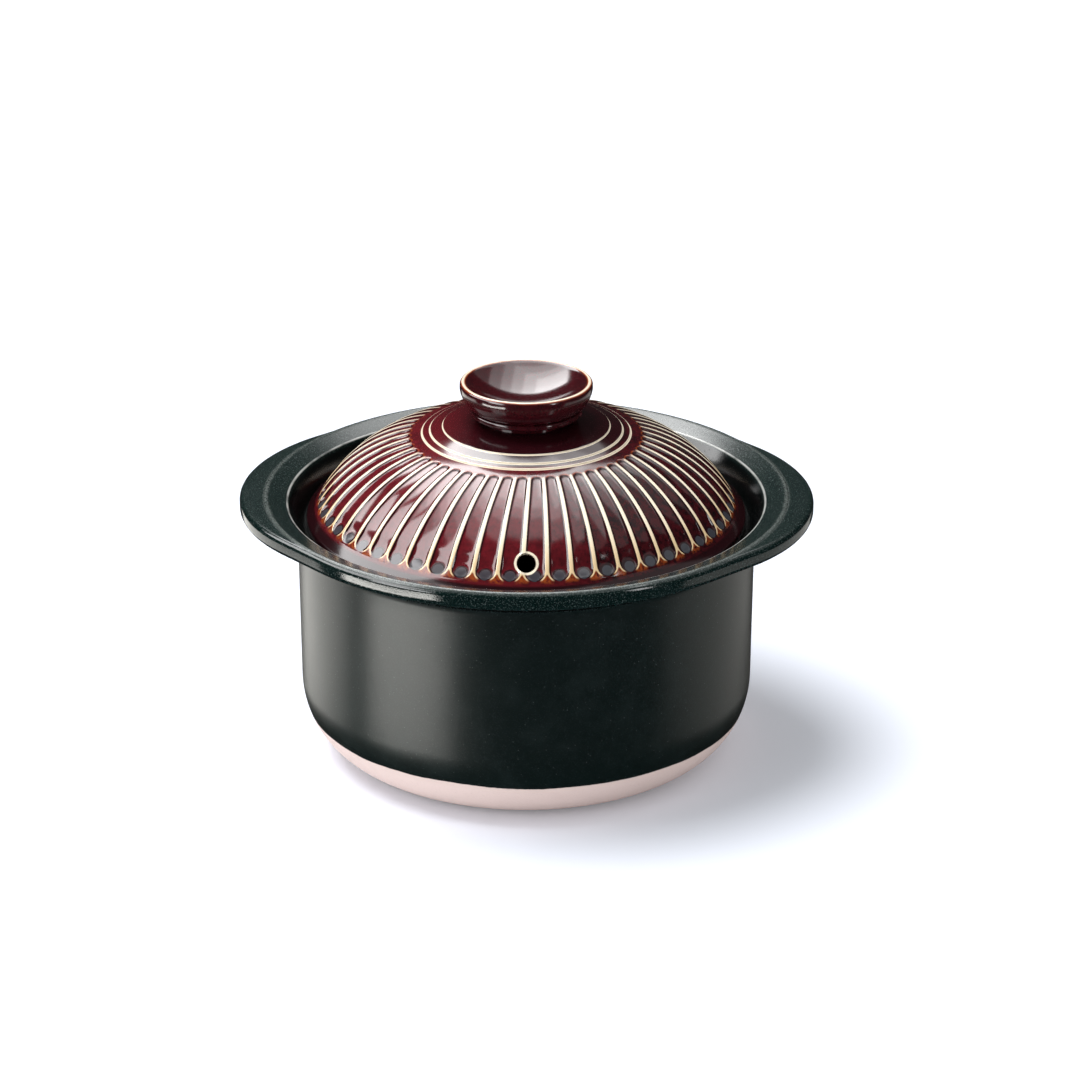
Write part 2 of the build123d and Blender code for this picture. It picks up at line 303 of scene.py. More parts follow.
class Section:
    """Half the section of a turned piece, drawn row by row in the XZ plane."""

    def __init__(self, radius, height):
        self.mesh = bmesh.new()
        self.layer = self.mesh.verts.layers.int.new("row")
        self.tip = self.mesh.verts.new((radius, 0, height))
        self.row = 0

    def _grow(self):
        """A new point on the tip, joined to it by an edge."""
        made = bmesh.ops.extrude_vert_indiv(self.mesh, verts=[self.tip])
        self.tip = made["verts"][0]
        self.row += 1
        self.tip[self.layer] = self.row

    def line(self, radius, height, steps=1):
        """A straight run to a point."""
        start = self.tip.co.copy()
        end = Vector((radius, 0, height))
        for step in range(steps):
            self._grow()
            self.tip.co = start.lerp(end, (step + 1) / steps)

    def arc(self, radius, height, angle, steps):
        """An arc about a centre. A positive angle turns from up towards outwards."""
        matrix = Matrix.Rotation(angle / steps, 3, "Y")
        for _ in range(steps):
            self._grow()
            bmesh.ops.rotate(self.mesh, verts=[self.tip], cent=(radius, 0, height), matrix=matrix)

    def oval(self, radius, height, half_width, half_height, start, angle, steps):
        """Part of an oval about a centre, from a start angle that counts from straight down."""
        for step in range(steps):
            at = start + angle * (step + 1) / steps
            self.line(radius + half_width * sin(at), height - half_height * cos(at))

    def corner(self, point, following, rounding, steps=4):
        """A run towards a corner, rounded off towards the point that follows it."""
        start = self.tip.co
        inward = Vector((point[0] - start.x, point[1] - start.z)).normalized()
        outward = Vector((following[0] - point[0], following[1] - point[1])).normalized()
        angle = atan2(inward.y * outward.x - inward.x * outward.y, inward.dot(outward))
        side = 1 if angle > 0 else -1
        cut = rounding * tan(abs(angle) / 2)
        begin = Vector(point) - inward * cut
        self.line(*begin)
        centre = (begin.x + side * inward.y * rounding, begin.y - side * inward.x * rounding)
        self.arc(*centre, angle, steps)

    def bulge(self, radius, height, rise, steps):
        """An arc to a point, which swells to the right of the straight line by the rise."""
        start = self.tip.co
        chord = Vector((radius - start.x, height - start.z))
        bend = (chord.length**2 / 4 + rise**2) / (2 * rise)
        right = Vector((chord.y, -chord.x)).normalized()
        centre = Vector((start.x, start.z)) + chord / 2 - right * (bend - rise)
        self.arc(*centre, -2 * asin(chord.length / 2 / bend), steps)

    def turned(self, columns):
        """The section spun all round the Z axis, closed at its poles, facing outwards."""
        mesh = self.mesh
        whole = mesh.verts[:] + mesh.edges[:]
        bmesh.ops.spin(
            mesh, geom=whole, cent=(0, 0, 0), axis=(0, 0, 1), angle=2 * pi, steps=columns, use_merge=True
        )
        bmesh.ops.remove_doubles(mesh, verts=mesh.verts[:], dist=MERGE_DISTANCE)
        bmesh.ops.recalc_face_normals(mesh, faces=mesh.faces[:])
        return self


def finished(name, section, materials):
    """A shaded object made from a turned section's mesh."""
    section.mesh.verts.layers.int.remove(section.layer)
    data = bpy.data.meshes.new(name)
    section.mesh.to_mesh(data)
    section.mesh.free()
    for material in materials:
        data.materials.append(material)
    shade(data)
    return added(name, data)


def shade(data):
    """Smooth faces with crisp edges where two faces meet at a sharp angle."""
    data.polygons.foreach_set("use_smooth", [True] * len(data.polygons))
    data.set_sharp_from_angle(angle=SHARP_ANGLE)


class Value:
    """A shader socket. Python's operators on it add the Math nodes."""

    def __init__(self, tree, socket):
        self.tree = tree
        self.socket = socket

    def math(self, operation, *others):
        inputs = dict(enumerate((self, *others)))
        return self.tree.node("ShaderNodeMath", {"operation": operation}, inputs)

    def __add__(self, other):
        return self.math("ADD", other)

    __radd__ = __add__

    def __sub__(self, other):
        return self.math("SUBTRACT", other)

    def __rsub__(self, other):
        return (self * -1) + other

    def __mul__(self, other):
        return self.math("MULTIPLY", other)

    __rmul__ = __mul__

    def __truediv__(self, other):
        return self.math("DIVIDE", other)

    def __pow__(self, other):
        return self.math("POWER", other)

    def __abs__(self):
        return self.math("ABSOLUTE")

    def most(self, other):
        return self.math("MAXIMUM", other)

    def least(self, other):
        return self.math("MINIMUM", other)

    def rises(self, low, high):
        """0 under the low value, 1 over the high one and smooth between them."""
        ends = {"Value": self, "From Min": low, "From Max": high}
        return self.tree.node("ShaderNodeMapRange", {"interpolation_type": "SMOOTHSTEP"}, ends)

    def falls(self, low, high):
        """1 under the low value, 0 over the high one and smooth between them."""
        return 1 - self.rises(low, high)


class Tree:
    """The node tree of a material or a world. It gives its nodes' outputs as values."""

    def __init__(self, owner):
        owner.use_nodes = True
        self.nodes = owner.node_tree.nodes
        self.links = owner.node_tree.links

    def fill(self, sockets, values):
        """A link or a constant for each of these sockets."""
        for key, value in values.items():
            if isinstance(value, Value):
                self.links.new(value.socket, sockets[key])
            else:
                sockets[key].default_value = value

    def node(self, kind, options, inputs, output=0):
        """Any node: its options first, then its sockets, and the value that it gives."""
        made = self.nodes.new(kind)
        for name, value in options.items():
            setattr(made, name, value)
        self.fill(made.inputs, inputs)
        return Value(self, made.outputs[output])

    def seen_by(self, ray):
        """1 for this kind of ray and 0 for the others."""
        return self.node("ShaderNodeLightPath", {}, {}, ray)

    def surface(self, name, values):
        """Links or constants for the sockets of the node of this name."""
        self.fill(self.nodes[name].inputs, values)


class Shader(Tree):
    """A glaze in coats, as a material's node tree, with its values in millimetres on the piece."""

    def __init__(self, name, glaze):
        self.material = bpy.data.materials.new(name)
        super().__init__(self.material)
        self.glaze = glaze
        self.place = self.node("ShaderNodeTexCoord", {}, {}, "Object")
        self.x = self.part("X") / MM
        self.y = self.part("Y") / MM
        self.z = self.part("Z") / MM
        self.radius = (self.x * self.x + self.y * self.y) ** 0.5

    def part(self, axis):
        return self.node("ShaderNodeSeparateXYZ", {}, {"Vector": self.place}, axis)

    def noise(self, grain, detail=3, roughness=0.55):
        """Even noise from 0 to 1, with grains of about that size in metres."""
        inputs = {"Vector": self.place, "Scale": 1 / grain, "Detail": detail, "Roughness": roughness}
        return self.node("ShaderNodeTexNoise", {"normalize": True}, inputs)

    def cells(self, size):
        """Distance from the middle of the nearest of many scattered cells, in cells of that size."""
        inputs = {"Vector": self.place, "Scale": 1 / size}
        return self.node("ShaderNodeTexVoronoi", {"feature": "F1"}, inputs, "Distance")

    def blend(self, factor, first, second):
        """The second colour where the factor is 1 and the first where it is 0."""
        inputs = {0: factor, 6: first, 7: second}
        return self.node("ShaderNodeMix", {"data_type": "RGBA"}, inputs, 2)

    def coat(self, share, colour):
        """Another colour over this share of the glaze."""
        self.glaze = self.blend(share, self.glaze, colour)

    def finish(self, roughness, ior, relief, depth, strength):
        """The whole surface, with a shallow relief from 0 to 1 that is so many millimetres deep."""
        inputs = {"Height": relief, "Distance": depth * MM, "Strength": strength}
        normal = self.node("ShaderNodeBump", {}, inputs)
        values = {"Base Color": self.glaze, "Roughness": roughness, "IOR": ior, "Normal": normal}
        self.surface("Principled BSDF", values)
        return self.material


def lug_extra(sizes, angle):
    """How far the flange's outline stands out past its circle at this angle round the pot."""
    across = abs(cos(angle))
    along = abs(sin(angle))
    lug_centre = sizes.lug_tip - sizes.lug_radius
    touch = acos((sizes.flange_radius - sizes.lug_radius) / lug_centre)
    here = atan2(along, across)
    if here >= touch:
        return 0
    lug_touch = atan2(sizes.lug_radius * sin(touch), lug_centre + sizes.lug_radius * cos(touch))
    if here <= lug_touch:
        reach = lug_centre * across + sqrt(sizes.lug_radius**2 - (lug_centre * along) ** 2)
    else:
        reach = sizes.flange_radius / cos(touch - here)
    return reach - sizes.flange_radius


def flange_place(sizes, part, share, extra):
    """Radius and height of a point on the flange's outside, with its edge moved out by the extra."""
    rounding = sizes.flange_round
    centre = sizes.flange_radius + extra - rounding
    low = sizes.flange_under + rounding
    high = sizes.flange_top - rounding
    if part == "underside":
        start = sizes.wall_radius + sizes.cove_radius
        return start + (centre - start) * share, sizes.flange_under
    if part == "lower edge":
        return centre + rounding * sin(share * pi / 2), low - rounding * cos(share * pi / 2)
    if part == "side":
        return centre + rounding, low + (high - low) * share

    # The upper edge runs up to where its rounding or the lug's flat top meets the ring's outer slope
    foot_radius = sizes.flange_radius - sizes.ridge_foot_inset
    foot_height = sizes.flange_top - sizes.ridge_foot_drop
    inward = sizes.ridge_inset - sizes.ridge_foot_inset
    upward = sizes.ridge_height - foot_height
    across = foot_radius - centre
    above = foot_height - high
    slope = upward**2 + inward**2
    half = above * upward - across * inward
    root = half**2 - slope * (across**2 + above**2 - rounding**2)
    flat_share = sizes.ridge_foot_drop / upward
    meet = (-half + sqrt(root)) / slope if root > 0 else flat_share
    if meet > flat_share or foot_radius - flat_share * inward < centre:
        meet = flat_share
    meet_radius = foot_radius - meet * inward
    meet_height = foot_height + meet * upward
    end = min(pi / 2, atan2(meet_height - high, meet_radius - centre))
    curve = rounding * end
    land = max(0, centre - meet_radius) if end == pi / 2 else 0
    way = share * (curve + land)
    if way <= curve:
        return centre + rounding * cos(way / rounding), high + rounding * sin(way / rounding)
    return centre - (way - curve), sizes.flange_top


def glaze_pot(name, bare_foot):
    """Satin green-black glaze with fine grain, and bare clay under its wandering edge."""
    colours = settings("colours")
    grains = settings("grains")
    sizes = settings("pot")
    seat = settings("lid").seat / MM
    under = sizes.flange_under / MM
    crest_radius = (sizes.flange_radius - sizes.ridge_inset) / MM
    crest_height = sizes.ridge_height / MM
    lip_radius = crest_radius - sizes.lip_width / MM + 0.5
    lip_height = crest_height - sizes.lip_drop / MM
    shader = Shader(name, colours.pot)
    radius, height = shader.radius, shader.z

    # Fine grain, slow clouds and sparse specks
    grain = shader.noise(grains.pot, detail=2, roughness=0.6)
    cloud = shader.noise(grains.cloud)
    specks = shader.cells(grains.speck)
    shader.coat(grain.rises(0.5, 0.78) * 0.75, colours.pot_grain)
    shader.coat(cloud.rises(0.45, 0.75) * 0.18, colours.pot_grain)
    shader.coat(specks.falls(0.05, 0.1) * 0.5, colours.speck)

    # The glaze is thin on the flange's top; the ring's crest and the lip are lighter where it runs thin,
    # with a painted highlight there too, and the gutter gets painted shade
    on_flange = height.rises(under - 8.4, under - 0.4)
    inside_ring = radius.falls(crest_radius - 1.5, crest_radius - 0.5)
    near_crest = height.rises(crest_height - 1.6, crest_height - 1)
    on_top = height.rises(lip_height - 1.2, lip_height + 0.3) * inside_ring.most(near_crest)
    shader.coat(on_top * grain.rises(0.35, 0.7) * 0.6, colours.pot_grain)
    # Painted highlight along the ring's crest, on glaze that is also thinner there
    crest = abs(radius - crest_radius + 0.4).falls(0.2, 1.7)
    thin_glaze_and_highlight = crest * height.rises(crest_height - 1.9, crest_height - 0.6)
    shader.coat(thin_glaze_and_highlight * (0.25 + grain.rises(0.4, 0.65) * 0.5), colours.thin_glaze_and_highlight)
    shader.coat(on_flange * grain.rises(0.56, 0.7) * 0.3, colours.thin_glaze_and_highlight)
    # Painted highlight: a bright line along the lip, where the glaze also runs thin
    lip = abs(radius - lip_radius + 0.2).falls(0.1, 0.6) * height.rises(lip_height - 1.6, lip_height - 0.8)
    shader.coat(lip * cloud.rises(0.2, 0.6) * 0.8, colours.lip_glaze_and_highlight)
    # Painted shade: the gutter, a recess, is darkened to near black
    in_gutter = radius.falls(lip_radius - 1.6, lip_radius - 0.6) * height.rises(seat - 1, seat - 0.5)
    shader.coat(in_gutter * 0.9, colours.shade)

    roughness = 0.25 + grain * 0.08 + cloud * 0.04
    roughness = roughness * (1 - on_flange * (0.74 - on_top * 0.36)) * (1 - crest * 0.2)
    relief = grain * 0.7 + specks.falls(0.05, 0.14) * 0.6
    if bare_foot:
        roughness, relief = bare_clay(shader, roughness, relief)
    return shader.finish(roughness, POT_IOR, relief, depth=0.05, strength=0.6)


def bare_clay(shader, roughness, relief):
    """Lays bare clay under the glaze's wandering edge. Gives the new roughness and relief."""
    colours = settings("colours")
    grains = settings("grains")
    sizes = settings("pot")
    wave = (shader.noise(grains.wave, detail=1) - 0.5) * (2 * sizes.glaze_wave / MM)
    ripple = (shader.noise(grains.ripple, detail=2) - 0.5) * 0.5
    edge = shader.z + (wave + ripple) - sizes.glaze_line / MM
    bare = edge.falls(-0.12, 0.12)
    dust = shader.noise(grains.dust, detail=4, roughness=0.7)
    clay = shader.blend(dust.rises(0.5, 0.8) * 0.5, colours.clay, colours.clay_grain)
    clay = shader.blend(edge.rises(-1.1, -0.1) * 0.35, clay, colours.clay_grain)
    shader.coat(bare, clay)
    relief = relief * (1 - bare) + bare * dust * 0.8 + edge.rises(-0.3, 0.5) * 1.5
    return roughness * (1 - bare) + bare * 0.85, relief


def dome_shape(sizes):
    """Radius and height of the centre of the dome's curve, in the XZ plane."""
    foot = Vector((sizes.rim_radius - sizes.band_width, sizes.seat + sizes.dome_foot))
    crown = Vector((sizes.crown_radius, foot.y + sizes.dome_rise))
    chord = crown - foot
    away = sqrt(sizes.dome_radius**2 - chord.length**2 / 4)
    inward = Vector((-chord.y, chord.x)).normalized()
    return foot, crown, (foot + crown) / 2 + inward * away


def smooth(share):
    """An eased step from 0 to 1."""
    share = min(max(share, 0), 1)
    return share * share * (3 - 2 * share)


class Flutes:
    """Where the flutes of the dome lie and how deep they are."""

    def __init__(self, sizes):
        self.sizes = sizes
        self.foot, self.crown, self.centre = dome_shape(sizes)
        foot_width = self.half_width(self.foot.x)
        top_width = self.half_width(sizes.flute_top)
        foot_way = (sizes.flute_inset + foot_width) * sin(self.angle(self.foot.x))
        self.low_radius = self.foot.x - foot_way
        self.top_radius = sizes.flute_top + top_width * sin(self.angle(sizes.flute_top))
        self.low_angle = self.angle(self.low_radius)
        self.top_angle = self.angle(self.top_radius)
        self.middle_angle = self.angle((self.low_radius + self.top_radius) / 2)

    def angle(self, radius):
        """Angle above level at which the dome passes this radius."""
        return acos((radius - self.centre.x) / self.sizes.dome_radius)

    def half_width(self, radius):
        """Half the width of a flute at this radius."""
        return pi * radius / self.sizes.flutes - self.sizes.rib_width / 2

    def lean(self, radius, angle):
        """How far round the lid the ribs have moved here, from where their middles stand."""
        way = (angle - self.middle_angle) * self.sizes.dome_radius
        return tan(self.sizes.slant) * way / radius

    def hole(self):
        """Radius, angle and height at which the steam hole's middle passes the dome."""
        radius = self.foot.x - self.sizes.hole_inset
        angle = self.angle(radius)
        return radius, angle, self.centre.y + self.sizes.dome_radius * sin(angle)

    def depth(self, radius, angle, aside):
        """How deep the glazed surface lies under the dome, at this distance from a flute's middle."""
        sizes = self.sizes
        down = (self.low_angle - angle) * sizes.dome_radius
        over = max(down, (angle - self.top_angle) * sizes.dome_radius, 0)
        half = self.half_width(min(max(radius, self.top_radius), self.low_radius))
        reach = sqrt(aside**2 + over**2)
        walls = (half - reach) / sizes.wall_width
        belly = max(half**2 - reach**2, 0) / (2 * sizes.belly_radius)
        dip = smooth((down + sizes.dip_start) / (sizes.dip_start - sizes.dip_end))
        floor_depth = sizes.wall_depth * smooth(walls) + belly + sizes.dip_depth * dip * smooth(walls / 2)
        pool = sizes.pool_depth + sizes.pool_tilt * (sizes.pool_drop - down)
        return max(min(floor_depth, pool), 0)


class LidGlaze(Shader):
    """The lid's glaze, which follows its flutes. It measures in millimetres."""

    def __init__(self):
        self.colours = settings("colours")
        super().__init__("lid_glaze", self.colours.red)
        self.grains = settings("grains")
        self.sizes = settings("lid")
        self.flutes = Flutes(self.sizes)
        self.mottle = self.noise(self.grains.mottle, detail=4, roughness=0.6)
        self.wobble = (self.noise(self.grains.wobble) - 0.5) * 0.35
        self.drift = (self.noise(self.grains.drift) - 0.5) * 0.8
        seat = self.sizes.seat / MM
        self.top_side = self.z.rises(seat + 1, seat + 2)
        self.find_flutes()

    def find_flutes(self):
        """How far a point is from the middle of its flute, past its ends and inside its edge."""
        sizes, flutes = self.sizes, self.flutes
        dome_radius = sizes.dome_radius / MM
        cosine = ((self.radius - flutes.centre.x / MM) / dome_radius).least(1).most(-1)
        angle = cosine.math("ARCCOSINE")
        lean = (angle - flutes.middle_angle) * (dome_radius * tan(sizes.slant)) / self.radius.most(1)
        round_angle = self.y.math("ARCTAN2", self.x)
        phase = (round_angle + pi / 2 - sizes.turned - lean) * (sizes.flutes / (2 * pi))
        pitch = self.radius * (2 * pi / sizes.flutes)
        self.aside = (0.5 - phase.math("PINGPONG", 0.5)) * pitch
        self.down = (flutes.low_angle - angle) * dome_radius
        self.up = (angle - flutes.top_angle) * dome_radius
        over = self.down.most(self.up).most(0)
        clamped = self.radius.most(flutes.top_radius / MM).least(flutes.low_radius / MM)
        half = clamped * (pi / sizes.flutes) - sizes.rib_width / MM / 2
        self.inside = half - (self.aside * self.aside + over * over) ** 0.5

    def paint(self, share, colour):
        """Another colour over this share of the glaze, on the lid's top side only."""
        self.coat(share * self.top_side, colour)

    def spread(self):
        """Mottled red, with painted shade to the right and on the crown (not at its left side), and darker
        in the band under the flutes.
        """
        crown = self.sizes.crown_radius / MM
        foot = self.flutes.foot.x / MM
        # Painted shade: the lid's glaze goes darker towards the right, away from the light, along a
        # wavering edge
        shift = (self.noise(self.grains.shift, detail=1) - 0.5) * 40
        shaded_right = (self.x + shift).rises(-15, 50)
        # Painted shade on the crown round the knob, left off its left side, where the light comes from
        on_crown = self.radius.falls(crown - 2.2, crown + 0.3) * self.x.rises(-45, -14)
        band = self.radius.rises(foot - 0.3, foot + 1.3)
        thick_and_shaded = (self.mottle + self.drift * 0.5).rises(0.35, 0.75) * 0.45 + shaded_right * 0.65
        self.coat(thick_and_shaded.most(on_crown * 0.92).most(band * 0.95), self.colours.plum)

    def line_ribs(self):
        """Cream ribs with deep glaze beside them and amber between the forks at their feet."""
        colours, inside, down = self.colours, self.inside, self.down
        near = inside + self.wobble
        drifted = down + self.drift * 2
        beside = near.rises(0.15, 0.4) * near.falls(0.6, 1.3)
        self.paint(beside * 0.85, colours.plum)

        forked = down.rises(1.2, 2.2)
        between = self.aside.rises(1.8, 3.2)
        fork = (inside + self.wobble * 0.5).rises(-0.75, -0.45) * inside.falls(-0.1, 0.15)
        rib = inside.falls(0.12, 0.38) * (1 - forked) + fork * forked
        rib = rib * drifted.falls(3, 5) * (self.up + self.drift).falls(0.8, 2.4) * between

        blotch = self.noise(self.grains.blotch, detail=3, roughness=0.6)
        delta = near.falls(-0.45, -0.15) * down.rises(1, 2.4) * drifted.falls(4.2, 5.8)
        delta = delta * between * blotch.rises(0.3, 0.6)
        arch = near.rises(-0.7, -0.3) * near.falls(-0.1, 0.4) * self.up.rises(0.4, 1.6)
        arch = arch * blotch.rises(0.25, 0.65) * 0.7
        self.paint(delta.most(arch) * 0.85, colours.amber)
        self.paint(rib, self.blend(down.rises(-16, 1) * 0.6, colours.cream, colours.straw))

    def fill_pools(self):
        """Pools of glaze at the flutes' feet, with a dark outline."""
        edge = self.sizes.pool_radius / MM
        below = self.down - self.sizes.pool_drop / MM
        way = (self.aside * self.aside + below * below * 0.6) ** 0.5 + self.wobble
        self.paint(way.falls(edge - 0.3, edge) * 0.9, self.colours.pool)
        outline = way.rises(edge - 0.4, edge) * way.falls(edge + 0.2, edge + 0.8)
        self.paint(outline * self.inside.rises(-0.1, 0.2) * 0.9, self.colours.plum)

    def line_steps(self):
        """Cream on the steps of the crown."""
        sizes = self.sizes
        inner_radius = sizes.crown_radius - sizes.terrace_width
        for place, width in ((sizes.crown_radius, 0.5), (inner_radius, 0.45), (sizes.line_radius, 0.3)):
            line = abs(self.radius - (place / MM + 0.1) + self.wobble * 0.2).falls(width * 0.5, width)
            self.paint(line * 0.9, self.colours.cream)

    def line_hole(self):
        """Cream round the steam hole's mouth, and deep glaze in its bore."""
        radius, angle, height = self.flutes.hole()
        turned = self.sizes.turned
        edge = self.sizes.hole_radius / MM
        sideways = self.x * cos(turned) + self.y * sin(turned)
        forward = self.y * cos(turned) - self.x * sin(turned) + radius / MM
        above = self.z - height / MM
        uphill = forward * sin(angle) + above * cos(angle)
        outward = above * sin(angle) - forward * cos(angle)
        way = (sideways * sideways + uphill * uphill) ** 0.5
        self.paint((way + self.wobble * 1.6).falls(edge + 1.05, edge + 1.4), self.colours.cream)
        self.coat(way.falls(edge + 0.25, edge + 0.45) * outward.falls(-1.6, -1), self.colours.plum)


def glaze_lid():
    """Glossy red-brown glaze that breaks to cream and amber on ribs and steps and pools in the flutes."""
    shader = LidGlaze()
    shader.spread()
    shader.line_ribs()
    shader.fill_pools()
    shader.line_steps()
    shader.line_hole()
    return shader.finish(0.09 + shader.mottle * 0.06, LID_IOR, shader.mottle, depth=0.02, strength=0.3)


def glaze_knob():
    """The lid's glaze, broken to amber and cream round the knob's rim."""
    colours = settings("colours")
    grains = settings("grains")
    sizes = settings("knob")
    shader = Shader("knob_glaze", colours.red)
    mottle = shader.noise(grains.mottle, detail=4, roughness=0.6)
    wobble = (shader.noise(grains.knob_wobble) - 0.5) * 0.5
    shader.coat(0.48 + mottle * 0.55, colours.plum)
    across = shader.radius - (sizes.rim_radius / MM - 1.3)
    above = shader.z - ((sizes.seat + sizes.lip_height) / MM - 0.4)
    from_crest = (across**2 + above**2) ** 0.5
    shader.coat((from_crest + wobble).falls(0.7, 1.5) * 0.8, colours.amber)
    shader.coat((from_crest + wobble * 0.6).falls(0.4, 0.9) * 0.9, colours.cream)
    return shader.finish(0.09 + mottle * 0.06, LID_IOR, mottle, depth=0.03, strength=0.35)


class POT_OT_turn_pot(Operator):
    """Turn the pot, draw its lugs out of the flange and glaze it"""

    bl_idname = "clay_pot.turn_pot"
    bl_label = "Turn the pot"

    def execute(self, context):
        sizes = settings("pot")
        section = Section(0, sizes.recess_depth)
        self.draw_wall(section, sizes)
        flange_rows = self.draw_flange(section, sizes)
        crest_row = self.draw_inside(section, sizes)
        mesh = section.turned(sizes.columns).mesh
        for face in mesh.faces:
            inward = min(vertex[section.layer] for vertex in face.verts) >= crest_row
            face.material_index = 1 if inward else 0
        for vertex in mesh.verts:
            place = flange_rows.get(vertex[section.layer])
            if place:
                angle = atan2(vertex.co.y, vertex.co.x)
                radius, height = flange_place(sizes, *place, lug_extra(sizes, angle))
                vertex.co = (radius * cos(angle), radius * sin(angle), height)
        glazes = [glaze_pot("pot_glaze", True), glaze_pot("pot_inner_glaze", False)]
        pot = finished("glazed_pot", section, glazes)
        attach(pot, "pot")
        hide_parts("pot_body")
        return {"FINISHED"}

    def draw_wall(self, section, sizes):
        """The underside, the wall and the cove under the flange."""
        base = sizes.base_height
        foot_width = sizes.wall_radius - sizes.wall_taper - sizes.base_radius
        cove_foot = sizes.flange_under - sizes.cove_radius
        section.line(sizes.recess_radius - sizes.recess_slope, sizes.recess_depth, steps=4)
        section.line(sizes.recess_radius, 0, steps=2)
        section.line(sizes.base_radius, 0, steps=3)
        section.oval(sizes.base_radius, base, foot_width, base, 0, pi / 2, steps=26)
        section.line(sizes.wall_radius, cove_foot, steps=12)
        section.arc(sizes.wall_radius + sizes.cove_radius, cove_foot, pi / 2, steps=10)

    def draw_flange(self, section, sizes):
        """The round flange. Gives each row's place on it, from which the lugs are drawn out."""
        rows = {}
        for part, count in FLANGE_ROWS:
            for step in range(count):
                share = (step + 1) / count
                section.line(*flange_place(sizes, part, share, 0))
                rows[section.row] = (part, share)
        return rows

    def draw_inside(self, section, sizes):
        """The ring's crest, the lip, the gutter and the inside. Gives the crest's row."""
        crest = (sizes.flange_radius - sizes.ridge_inset, sizes.ridge_height)
        lip = (crest[0] - sizes.lip_width, sizes.ridge_height - sizes.lip_drop)
        seat = settings("lid").seat
        gutter = (sizes.gutter_radius, seat)
        inner_foot = sizes.floor_height + sizes.inner_height
        inner_centre = (sizes.inner_radius - sizes.inner_width, inner_foot)
        section.corner(crest, lip, sizes.ridge_round)
        crest_row = section.row
        section.line(*Vector(crest).lerp(Vector(lip), 0.5), steps=3)
        section.corner(lip, gutter, sizes.lip_round, steps=6)
        section.corner(gutter, (sizes.inner_radius, seat), sizes.gutter_round, steps=6)
        section.line(sizes.inner_radius, seat, steps=2)
        section.line(sizes.inner_radius, inner_foot, steps=8)
        section.oval(*inner_centre, sizes.inner_width, sizes.inner_height, pi / 2, -pi / 2, steps=16)
        section.line(0, sizes.floor_height, steps=5)
        return crest_row


